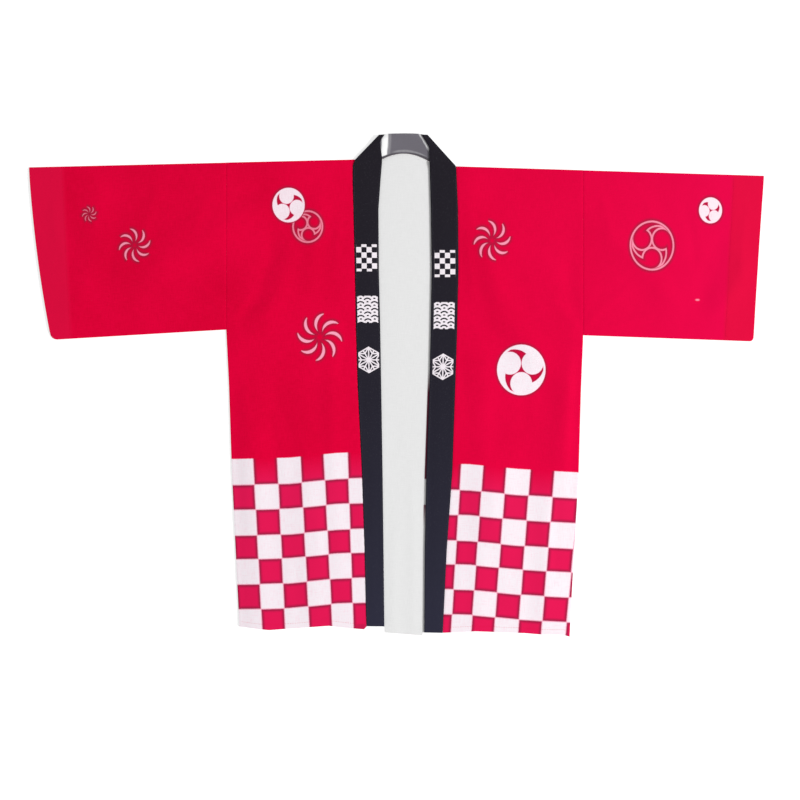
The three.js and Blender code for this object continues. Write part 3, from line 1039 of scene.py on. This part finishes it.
# Each gives a number that is above zero in the motif's print, by about its share of half the width
MOTIF_KINDS = {"tomoe": tomoe, "tomoe_outline": tomoe_outline, "pinwheel": pinwheel}
PRINT_BLUR = 2.4
HALO_WIDTH = 5.5
HALO_DARK = 0.7

# A motif clears the print under it, out to this share of its radius
CLEARED = 1.06
CLEARED_BLUR = 0.02


def motifs_masks(x, y, motifs):
    """White ink of a panel's motifs, each over those before it, and the darker ground beside it."""
    ink, halo = None, None
    for motif in motifs:
        shape = MOTIF_KINDS[motif.kind](x, y, motif)
        inked = shape.sharp(PRINT_BLUR / motif.width)
        printed = inked * motif.ink
        beside = (shape + HALO_WIDTH / motif.width).sharp(2 * HALO_WIDTH / motif.width) - inked
        if ink is not None:
            radius = motif_circle(x, y, motif)[0]
            ink = ink * (radius - CLEARED).sharp(CLEARED_BLUR)
            printed = ink.higher(printed)
            beside = halo.higher(beside)
        ink, halo = printed, beside
    return ink, halo * HALO_DARK


CELL_SOFTNESS = 9.0
CELL_BORDER = 0.48


def check_masks(wobble):
    """White cells of the check, its ground, and the darker borders of its red cells."""
    column, row = pair(wobble.tree, "check")
    column, row = column + wobble, row + wobble
    across, down = (column * math.pi).math("SINE"), (row * math.pi).math("SINE")
    soft_across = (across * CELL_SOFTNESS).lower(1.0).higher(-1.0)
    open_top = (row * -1 + 0.5).math("GREATER_THAN", 0.0)
    soft_down = (down * CELL_SOFTNESS).lower(1.0).higher(open_top * 2 - 1)
    inside = row.sharp(CHECK_TOP_BLUR)
    white = (soft_across * soft_down * -0.5 + 0.5) * inside
    to_border = abs(across).lower(abs(down) + open_top)
    return white, row.ramp(1.0, 0.0), to_border.ramp(-1 / CELL_BORDER, 1.0) * inside


def stain_mask(x, y):
    across, up = (x - STAIN_X) * (2 / STAIN_WIDTH), (y - STAIN_Y) * (2 / STAIN_HEIGHT)
    return distance(across, up).flip().sharp(STAIN_BLUR) * STAIN_INK


def cuff_mask(side, x, y):
    """1 past the stitch line of a cuff, where the cloth is doubled and looks paler."""
    low, high = line_y(side.underarm, side.cuff.bottom), line_y(side.shoulder, side.cuff.top)
    slope = (side.cuff.hem_top - side.cuff.hem_bottom) / (high - low)
    past = x - (y - low) * slope - side.cuff.hem_bottom
    return (past * side.sign).sharp(CUFF_BLUR)


YARN = 0.62
SLUB_WIDTH = 1.1
SLUB_LENGTH = 16.0
WRINKLE_SIZES = (34.0, 26.0)
SOFT_DETAIL = 3.0
SHEEN_ROUGHNESS = 0.6


def weave(x, y):
    """Height of a plain weave: warp and weft yarns passing over and under each other."""
    warp = (x * (math.pi / YARN)).math("SINE")
    weft = (y * (math.pi / YARN)).math("SINE")
    return warp * weft


Finish = namedtuple("Finish", "roughness specular sheen tint weave_depth wrinkle_depth")
RED_FINISH = Finish(0.9, 0.1, 0.1, (1.0, 0.06, 0.2), 0.09, 0.5)
INSIDE_FINISH = Finish(0.92, 0.15, 0.1, (1.0, 1.0, 1.0), 0.08, 0.3)
COLLAR_FINISH = Finish(0.85, 0.12, 0.03, (0.85, 0.83, 1.0), 0.1, 0.25)
NECK_FINISH = Finish(0.42, 0.5, 0.2, (0.9, 0.9, 1.0), 0.04, 0.25)

# Broad random patches of deeper red in the red cotton, rough edges of its check, and how well print
# covers the slubs
PATCH_SIZES = (120.0, 150.0)
PATCH_SLUBS = 0.8
PATCH_RAMP = (2.2, -0.6)
BLUER_POWER = 3.0
ROUGH_SIZES = (1.6, 1.6)
ROUGH_EDGE = 0.03
RED_SLUBS = 0.35
RED_COVER = 0.985

# Slubs of the inner face, lint on the collar, and one turn of the sewing thread
INSIDE_SLUBS = 1.5
INSIDE_COVER = 0.6
LINT_SIZES = (1.3, 1.3)
LINT_RAMP = (8.0, -5.6)
LINT_SHARE = 0.12
TWIST = 0.9


def cotton(name, finish):
    """A woven material without its colour: weave, slubs and slight wrinkles as bump."""
    material = bpy.data.materials.new(name)
    material.use_nodes = True
    tree = material.node_tree
    shader = tree.nodes["Principled BSDF"]
    set_inputs(shader, {
        "Roughness": finish.roughness,
        "Specular IOR Level": finish.specular,
        "Sheen Weight": finish.sheen,
        "Sheen Roughness": SHEEN_ROUGHNESS,
        "Sheen Tint": (*finish.tint, 1),
        "Specular Tint": (*finish.tint, 1),
    })
    x, y = pair(tree, "place")
    warp_slubs = noise(x, y, (SLUB_WIDTH, SLUB_LENGTH))
    weft_slubs = noise(x, y, (SLUB_LENGTH, SLUB_WIDTH))
    wrinkles = noise(x, y, WRINKLE_SIZES, SOFT_DETAIL)
    yarns = weave(x, y) * 0.5 + warp_slubs + weft_slubs
    normal = None
    for height, depth in ((yarns, finish.weave_depth), (wrinkles, finish.wrinkle_depth)):
        bump = tree.nodes.new("ShaderNodeBump")
        set_inputs(bump, {"Strength": 1.0, "Distance": depth * MM})
        tree.links.new(height.socket, bump.inputs["Height"])
        if normal is not None:
            tree.links.new(normal, bump.inputs["Normal"])
        normal = bump.outputs["Normal"]
    tree.links.new(normal, shader.inputs["Normal"])
    return material, x, y, warp_slubs + weft_slubs - 1.0


def red_cotton(name, motifs, checked=False, cuff=None):
    """Red cotton with its white print; the ground is a little uneven, in broad random patches of
    deeper red.
    """
    material, x, y, slubs = cotton(name, RED_FINISH)
    patches = noise(x, y, PATCH_SIZES, SOFT_DETAIL) + slubs * PATCH_SLUBS
    ground = patches.ramp(*PATCH_RAMP).mix(RED_DEEP, RED)
    # Painted light: the red turns bluer towards the right, where the light falls brighter
    rightward = (x * (1 / (2 * HALF_SPAN)) + 0.5).math("POWER", BLUER_POWER, clamp=True)
    ground = rightward.mix(ground, RED_BLUER)
    ink, halo = motifs_masks(x, y, motifs)
    if checked:
        rough_edge = (noise(x, y, ROUGH_SIZES) - 0.5) * ROUGH_EDGE
        white_cells, all_cells, borders = check_masks(rough_edge)
        ground = all_cells.mix(ground, RED_CHECK)
        halo = halo.higher(borders)
        ink = ink.higher(white_cells)
    if cuff is not None:
        ground = cuff_mask(cuff, x, y).mix(ground, RED_CUFF)
        ink = ink.higher(stain_mask(x, y))
    ground = halo.mix(ground, RED_SHADE)
    ink = ink * (slubs * RED_SLUBS + RED_COVER).lower(1.0)
    thin_ink = ink.ramp(2.0, 0.0).mix(ground, PINK)
    return paint(material, ink.ramp(2.0, -1.0).mix(thin_ink, WHITE))


# Beside the right collar band the dyed red inside shows as a narrow line, painted dark as the shade of
# the band, broken by one pale cell
LINE_X = 57.3
LINE_SLOPE = 0.034
LINE_WIDTH = 3.0
LINE_TOP = 8.0
LINE_FOOT = -226.0
LINE_BLUR = 1.2
LINE_END_BLUR = 40.0
PALE_CELL = (-208.0, -163.0)
PALE_CELL_BLUR = 2.0


def shaded_red_line(x, y):
    """1 in the narrow strip where the red inside shows beside the right collar band, painted dark as
    shade.
    """
    past = x - y * LINE_SLOPE - (LINE_X - LINE_WIDTH)
    along = (y - (LINE_TOP + LINE_FOOT) / 2).within((LINE_TOP - LINE_FOOT) / 2, LINE_END_BLUR)
    in_cell = (y - sum(PALE_CELL) / 2).within((PALE_CELL[1] - PALE_CELL[0]) / 2, PALE_CELL_BLUR)
    return past.sharp(LINE_BLUR) * along * in_cell.flip()


def inside_cotton(name):
    """The inner face, plain light grey, with a narrow red line in painted shade beside the right
    collar band.
    """
    material, x, y, slubs = cotton(name, INSIDE_FINISH)
    ground = (slubs * INSIDE_SLUBS + INSIDE_COVER).lower(1.0).mix(INSIDE_SHADE, INSIDE)
    # The red line beside the right band is painted shade
    return paint(material, shaded_red_line(x, y).mix(ground, SHADED_RED_INSIDE))


def check_block(x, y):
    column = (x / (BLOCK_WIDTH / BLOCK_COLUMNS)).math("FLOOR")
    row = (y / (BLOCK_HEIGHT / BLOCK_ROWS)).math("FLOOR")
    return (column + row).wrap(0, 2)


WAVE = 12.0
WAVE_RINGS = 2.0
WAVE_GAP = 0.4


def waves_block(x, y):
    """Overlapping rows of round waves, each of two rings round a disc."""
    rings = []
    row = (y / (WAVE / 2)).math("FLOOR")
    for behind in (1, 0):
        this_row = row - behind
        shift = this_row.wrap(0, 2) * WAVE
        rings.append(distance((x - shift).wrap(-WAVE, WAVE), y - this_row * (WAVE / 2)) / WAVE)
    front, rear = rings
    in_front = front.flip().math("GREATER_THAN", 0.0)
    nearest = front * in_front + rear * in_front.flip()
    return (nearest * WAVE_RINGS).wrap(0, 1).math("GREATER_THAN", WAVE_GAP)


HEMP_RADIUS = 22.0
HEMP_LINE = 2.2


def hemp_block(x, y):
    """A hemp leaf: six diamonds round a middle, in a hexagon."""
    radius = distance(x, y)
    sixth = math.pi / 3
    angle = abs((x.math("ARCTAN2", y)).wrap(-sixth / 2, sixth / 2))
    along, aside = radius * angle.math("COSINE"), radius * angle.math("SINE")
    cosine, sine = math.cos(sixth / 2), math.sin(sixth / 2)
    spoke = abs(along * sine - aside * cosine)
    diamond = abs((along - HEMP_RADIUS) * sine + aside * cosine)
    past_rim = along * cosine + aside * sine - HEMP_RADIUS * cosine
    nearest = aside.lower(spoke).lower(diamond).lower(abs(past_rim))
    line = (nearest * -1 + HEMP_LINE / 2).sharp(BLOCK_BLUR)
    return line * (past_rim * -1 + HEMP_LINE / 2).sharp(BLOCK_BLUR)


def collar_cotton(name, places):
    """Black cotton, bluer towards the hem, with three blocks of white pattern."""
    material, x, y, slubs = cotton(name, COLLAR_FINISH)
    foot = y.ramp(-1 / (2 * HALF_LENGTH), 0.5)
    lint = noise(x, y, LINT_SIZES, 0.0).ramp(*LINT_RAMP) * LINT_SHARE
    ground = lint.mix((foot * foot).mix(BLACK_TOP, BLACK_FOOT), LINT)
    across, along = pair(x.tree, "band")
    ink = None
    for place, block in zip(places, (check_block, waves_block, hemp_block)):
        up = along - place
        inside_x = across.within(BLOCK_WIDTH / 2, BLOCK_BLUR)
        inside_y = up.within(BLOCK_HEIGHT / 2, BLOCK_BLUR)
        printed = block(across, up) * inside_x * inside_y
        ink = printed if ink is None else ink.higher(printed)
    ink = ink * (slubs * BLOCK_SLUBS + BLOCK_COVER).lower(1.0)
    return paint(material, ink.mix(ground, WHITE))


# Painted highlights on the collar behind the neck: pale streaks, by where each crosses the height of
# the arch's top, with ink as each one's strength, and a thin pale arc just above its seam
Highlight = namedtuple("Highlight", "x0 x1 lean ink")
NECK_HIGHLIGHTS = (
    Highlight(-27, -16, 0.07, 0.95),
    Highlight(-16, -11, 0.07, 0.12),
    Highlight(59, 63, -0.62, 0.6),
)
ARC_HEIGHT = 5.0
ARC_WIDTH = 3.4
ARC_MIDDLE = 24.0
ARC_REACH = 28.0
ARC_HIGHLIGHT = 0.2
ARC_EVENNESS = 0.75
ARC_BLUR = 2.0
ARC_END_BLUR = 12.0
STREAK_SIZES = (3.0, 18.0)
STREAK_ROUGHNESS = 3.0
STREAK_BLUR = 3.0
SEAM_LINE = 1.6
SEAM_LINE_GROWTH = 0.09
SEAM_LINE_BLUR = 1.5


def neck_cotton(name):
    """The smooth inner face of the collar, with painted highlights: pale streaks and a pale arc where
    it would catch the light.
    """
    material, x, y, slubs = cotton(name, NECK_FINISH)
    uneven = noise(x, y, STREAK_SIZES, SOFT_DETAIL) - 0.5
    from_middle = abs(x - NECK_ARCH_X)
    above_seam = y + from_middle * from_middle * NECK_ARCH_CURVE - NECK_ARCH_Y
    arc_across = (above_seam - ARC_HEIGHT).within(ARC_WIDTH / 2, ARC_BLUR)
    arc_along = (x - ARC_MIDDLE).within(ARC_REACH, ARC_END_BLUR)
    # Painted highlight: a thin pale arc above the seam; ink here is the share of painted highlight,
    # not print
    ink = arc_across * arc_along * (uneven + ARC_EVENNESS) * ARC_HIGHLIGHT
    # Painted highlights: pale streaks across the collar
    for highlight in NECK_HIGHLIGHTS:
        middle, half = (highlight.x0 + highlight.x1) / 2, (highlight.x1 - highlight.x0) / 2
        away = x - (y - NECK_ARCH_Y) * highlight.lean - middle + uneven * STREAK_ROUGHNESS
        ink = ink.higher(away.within(half, STREAK_BLUR) * highlight.ink)
    ground = slubs.ramp(1.0, 0.5).mix(NECK_SHADE, NECK_GREY)
    seam = (from_middle * SEAM_LINE_GROWTH + SEAM_LINE - above_seam).sharp(SEAM_LINE_BLUR)
    # The pale colour is painted highlight over the grey; the dark line is the seam
    return paint(material, seam.mix(ink.mix(ground, PAINTED_HIGHLIGHT), NECK_DARK))


def thread(name, base, light):
    """Sewing thread, with its twist as slanting stripes."""
    material, x, y, _ = cotton(name, Finish(0.6, 0.3, 0.2, base, 0.05, 0.05))
    twist = ((x + y) * (2 * math.pi / TWIST)).math("SINE").ramp(0.5, 0.5)
    return paint(material, twist.mix(base, light))


# Surroundings

CAMERA_X = 6.1
CAMERA_Y = -25.3
CAMERA_LENS = 50.0
CAMERA_SENSOR = 36.0
PICTURE_WIDTH = 1395.1

# Floor and lights, in metres and watts
FLOOR_HALF = 6.0
FLOOR_BELOW = 0.0002
FLOOR_GLOW = 0.62
SKY_STRENGTH = 0.5
KEY_PLACE = (6.6, -0.9, 5.2)
KEY_SIZE = 2.4
KEY_POWER = 750.0


def make_camera():
    """Straight above the coat, looking down, with the photograph's framing."""
    data = bpy.data.cameras.new("camera")
    data.lens = CAMERA_LENS
    data.sensor_width = CAMERA_SENSOR
    camera = bpy.data.objects.new("camera", data)
    height = PICTURE_WIDTH * CAMERA_LENS / CAMERA_SENSOR
    camera.location = (CAMERA_X * MM, CAMERA_Y * MM, height * MM)
    bpy.context.scene.collection.objects.link(camera)
    bpy.context.scene.camera = camera


def make_floor():
    mesh = bpy.data.meshes.new("floor")
    corners = [(x * FLOOR_HALF, y * FLOOR_HALF, 0) for x, y in ((-1, -1), (1, -1), (1, 1), (-1, 1))]
    mesh.from_pydata(corners, [], [(0, 1, 2, 3)])
    material = bpy.data.materials.new("floor_paint")
    material.use_nodes = True
    set_inputs(material.node_tree.nodes["Principled BSDF"], {
        "Base Color": (*FLOOR_GREY, 1),
        "Emission Color": (1.0, 1.0, 1.0, 1),
        "Emission Strength": FLOOR_GLOW,
        "Roughness": 0.9,
        "Specular IOR Level": 0.1,
    })
    mesh.materials.append(material)
    floor = bpy.data.objects.new("floor", mesh)
    floor.location.z = -FLOOR_BELOW
    bpy.context.scene.collection.objects.link(floor)


def make_light(name, place, size, power):
    data = bpy.data.lights.new(name, "AREA")
    data.size = size
    data.energy = power
    light = bpy.data.objects.new(name, data)
    light.location = place
    x, y, z = place
    light.rotation_euler = (math.atan2(math.hypot(x, y), z), 0, math.atan2(x, -y))
    bpy.context.scene.collection.objects.link(light)


def make_lights():
    world = bpy.data.worlds.new("studio")
    world.use_nodes = True
    sky = {"Color": (1.0, 1.0, 1.0, 1), "Strength": SKY_STRENGTH}
    set_inputs(world.node_tree.nodes["Background"], sky)
    bpy.context.scene.world = world
    make_light("key", KEY_PLACE, KEY_SIZE, KEY_POWER)
    bpy.context.scene.view_settings.view_transform = "Standard"


make_camera()
make_floor()
make_lights()

inside = inside_cotton("inside_cotton")
red_thread = thread("red_thread", *RED_THREAD)
black_thread = thread("black_thread", *BLACK_THREAD)

back = make_back(red_cotton("back_cotton", MOTIFS["back"], checked=True), inside)

neck = make_neck(neck_cotton("neck_cotton"))

for side in SIDES:
    outside = red_cotton(f"front_{side.name}_cotton", MOTIFS[f"front_{side.name}"], checked=True)
    front = make_front(side, outside, inside)
    hem = make_stitches(
        f"hem_stitches_{side.name}", [hem_row(side)], RED_STITCHES, red_thread
    )

    outside = red_cotton(f"sleeve_{side.name}_cotton", MOTIFS[f"sleeve_{side.name}"], cuff=side)
    sleeve = make_sleeve(side, outside, inside)
    cuff = make_stitches(
        f"cuff_stitches_{side.name}", [cuff_row(side)], RED_STITCHES, red_thread
    )

    black = collar_cotton(f"collar_{side.name}_cotton", BLOCK_PLACES[side.name])
    band = make_band(side, black)
    rows = [band_row(side, "seam"), band_row(side, "edge")]
    stitches = make_stitches(
        f"collar_stitches_{side.name}", rows, BLACK_STITCHES, black_thread
    )
